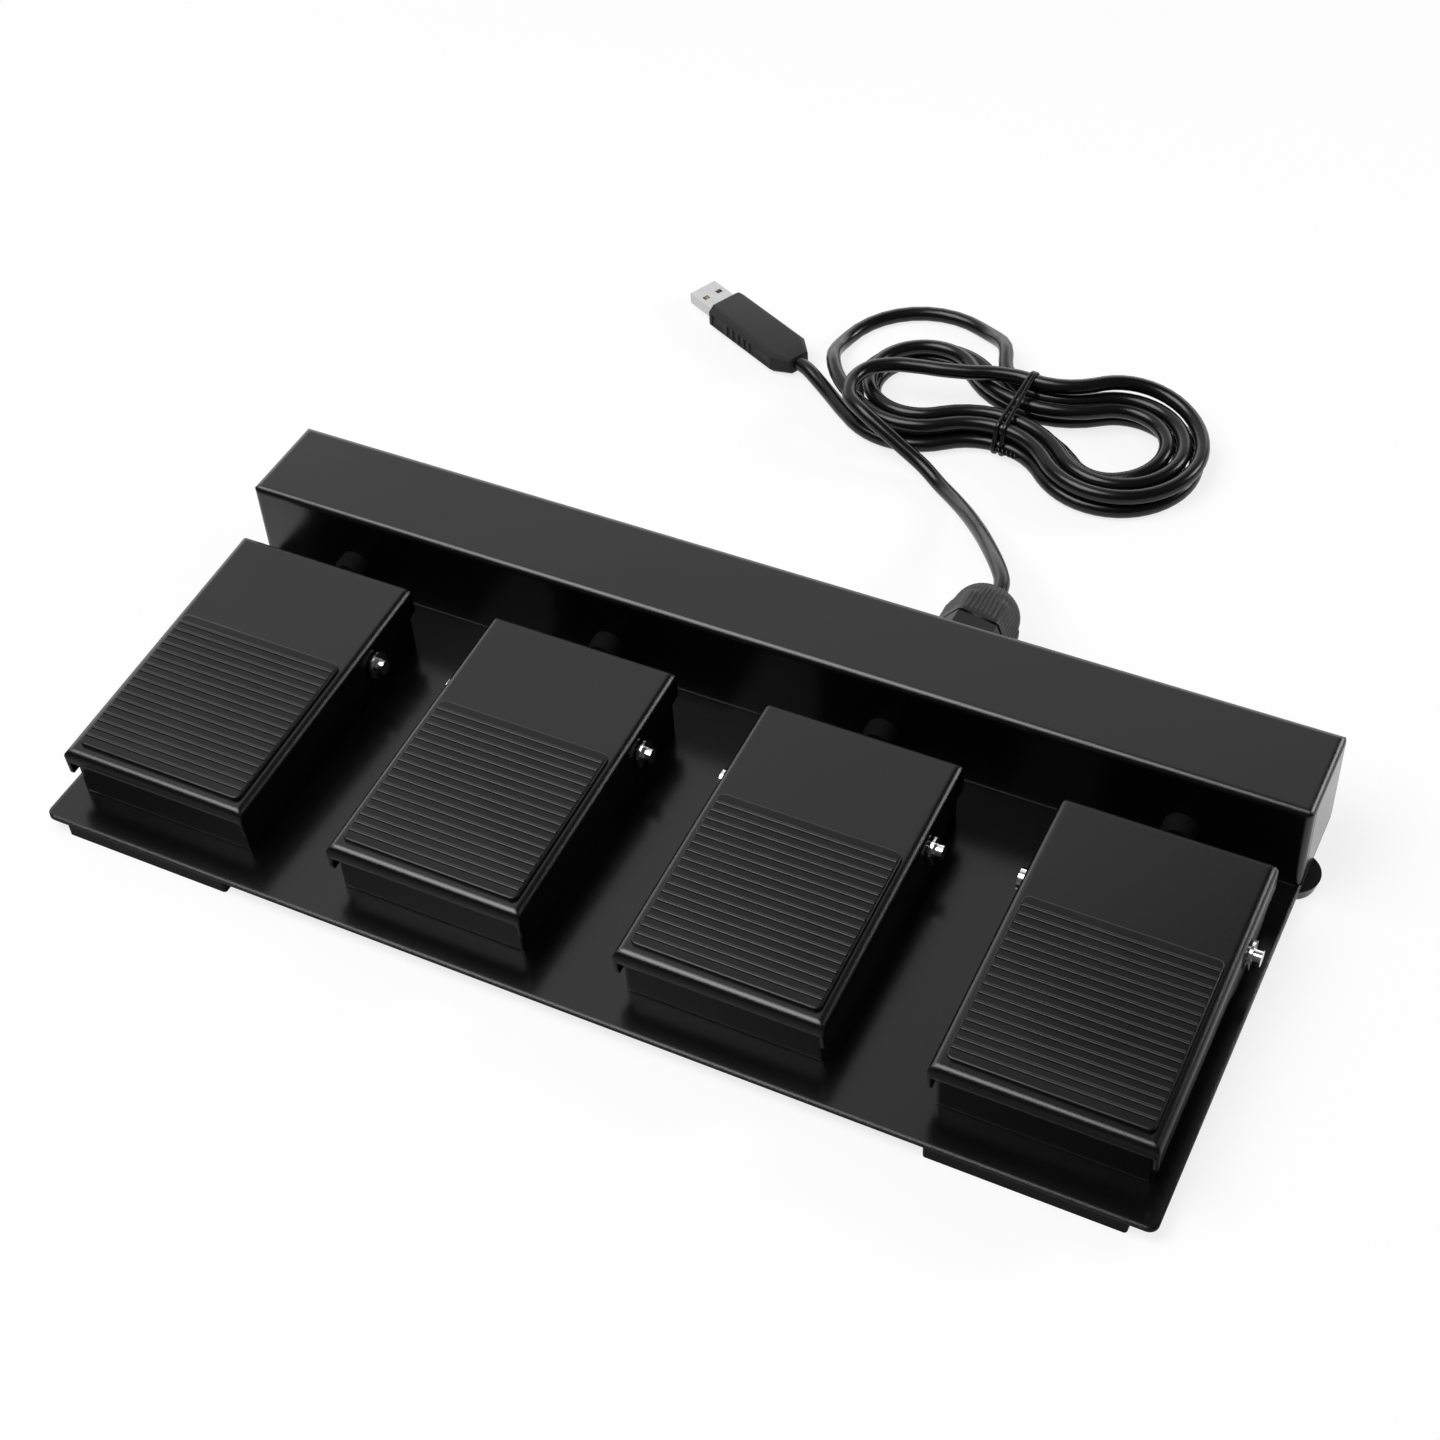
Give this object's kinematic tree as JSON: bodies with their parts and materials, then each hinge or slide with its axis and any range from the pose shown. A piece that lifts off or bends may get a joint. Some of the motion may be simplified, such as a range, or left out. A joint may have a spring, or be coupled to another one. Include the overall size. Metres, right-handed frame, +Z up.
{
  "type": "usb foot pedal switch",
  "caption": "Foot switch with spring-return treadles and ribbed rubber pads on a steel base plate, a wiring housing along the rear and a USB cord tied in a hank.",
  "frame": {"origin": "middle of the base plate's outline, on the floor that the feet stand on", "axes": "+X along the row of pedals to the right, +Y from the toe edge to the rear housing, +Z up"},
  "size_m": [0.3788, 0.3531, 0.039],
  "materials": {
    "powder_coat": "satin black powder coat",
    "rubber": "matt",
    "bright_steel": "zinc plated",
    "chrome_pin": "polished",
    "plug_metal": "nickel plated sheet",
    "contact_gold": "gold flash",
    "black_plastic": "moulded nylon",
    "white_nylon": "moulded nylon",
    "red_plastic": "moulded",
    "cord_jacket": "smooth PVC",
    "board_laminate": "solder mask"
  },
  "bodies": {
    "base": {"base_plate": "powder_coat", "housing_shell": "powder_coat", "sheet_screws": "bright_steel", "front_foot_left": "rubber", "front_foot_right": "rubber", "rear_foot_left": "rubber", "rear_foot_right": "rubber", "rear_foot_screws": "bright_steel", "control_board": "board_laminate", "board_components": "black_plastic", "lead_connectors": "white_nylon", "cord_connector": "white_nylon", "board_posts": "white_nylon", "board_screws": "bright_steel", "gland_body": "black_plastic", "gland_nut": "black_plastic", "gland_lock_nut": "black_plastic", "gland_seal": "rubber", "usb_cord": "cord_jacket", "usb_cord_hank": "cord_jacket", "usb_cord_tail": "cord_jacket", "cord_inner_lead": "cord_jacket", "cord_tie": "cord_jacket", "plug_overmould": "cord_jacket", "plug_shell": "plug_metal", "plug_tongue": "white_nylon", "plug_contacts": "contact_gold", "left_lead_grommet": "rubber", "lead_grommets": "rubber", "pivot_pins": "chrome_pin", "pivot_clips": "chrome_pin", "switch_screws": "bright_steel", "pedal_tray_1": "powder_coat", "return_spring_1": "bright_steel", "micro_switch_1": "black_plastic", "pedal_lead_1": "cord_jacket", "pedal_tray_2": "powder_coat", "return_spring_2": "bright_steel", "micro_switch_2": "black_plastic", "pedal_lead_2": "cord_jacket", "pedal_tray_3": "powder_coat", "return_spring_3": "bright_steel", "micro_switch_3": "black_plastic", "pedal_lead_3": "cord_jacket", "pedal_tray_4": "powder_coat", "return_spring_4": "bright_steel", "micro_switch_4": "black_plastic", "pedal_lead_4": "cord_jacket"},
    "pedal_1": {"treadle_1": "powder_coat", "tread_pad_1": "rubber"},
    "plunger_1": {"switch_plunger_1": "red_plastic"},
    "pedal_2": {"treadle_2": "powder_coat", "tread_pad_2": "rubber"},
    "plunger_2": {"switch_plunger_2": "red_plastic"},
    "pedal_3": {"treadle_3": "powder_coat", "tread_pad_3": "rubber"},
    "plunger_3": {"switch_plunger_3": "red_plastic"},
    "pedal_4": {"treadle_4": "powder_coat", "tread_pad_4": "rubber"},
    "plunger_4": {"switch_plunger_4": "red_plastic"}
  },
  "joints": [
    {"name": "pedal_1_press", "type": "hinge", "parent": "base", "child": "pedal_1", "pos_m": [-0.147, 0.006, 0.0205], "axis": [1, 0, 0], "range_deg": [0, 4.5], "stiffness_Nm_per_rad": 5, "springref_deg": -5.73, "deforming": ["return_spring_1"]},
    {"name": "pedal_2_press", "type": "hinge", "parent": "base", "child": "pedal_2", "pos_m": [-0.049, 0.006, 0.0205], "axis": [1, 0, 0], "range_deg": [0, 4.5], "stiffness_Nm_per_rad": 5, "springref_deg": -5.73, "deforming": ["return_spring_2"]},
    {"name": "pedal_3_press", "type": "hinge", "parent": "base", "child": "pedal_3", "pos_m": [0.049, 0.006, 0.0205], "axis": [1, 0, 0], "range_deg": [0, 4.5], "stiffness_Nm_per_rad": 5, "springref_deg": -5.73, "deforming": ["return_spring_3"]},
    {"name": "pedal_4_press", "type": "hinge", "parent": "base", "child": "pedal_4", "pos_m": [0.147, 0.006, 0.0205], "axis": [1, 0, 0], "range_deg": [0, 4.5], "stiffness_Nm_per_rad": 5, "springref_deg": -5.73, "deforming": ["return_spring_4"]},
    {"name": "plunger_1_slide", "type": "slide", "parent": "base", "child": "plunger_1", "axis": [0, 0, -1], "range_m": [0, 0.0018]},
    {"name": "plunger_2_slide", "type": "slide", "parent": "base", "child": "plunger_2", "axis": [0, 0, -1], "range_m": [0, 0.0018]},
    {"name": "plunger_3_slide", "type": "slide", "parent": "base", "child": "plunger_3", "axis": [0, 0, -1], "range_m": [0, 0.0018]},
    {"name": "plunger_4_slide", "type": "slide", "parent": "base", "child": "plunger_4", "axis": [0, 0, -1], "range_m": [0, 0.0018]}
  ],
  "couplings": [
    {"joint": "plunger_1_slide", "follows": "pedal_1_press", "m_per_rad": 0.0216},
    {"joint": "plunger_2_slide", "follows": "pedal_2_press", "m_per_rad": 0.0216},
    {"joint": "plunger_3_slide", "follows": "pedal_3_press", "m_per_rad": 0.0216},
    {"joint": "plunger_4_slide", "follows": "pedal_4_press", "m_per_rad": 0.0216}
  ]
}
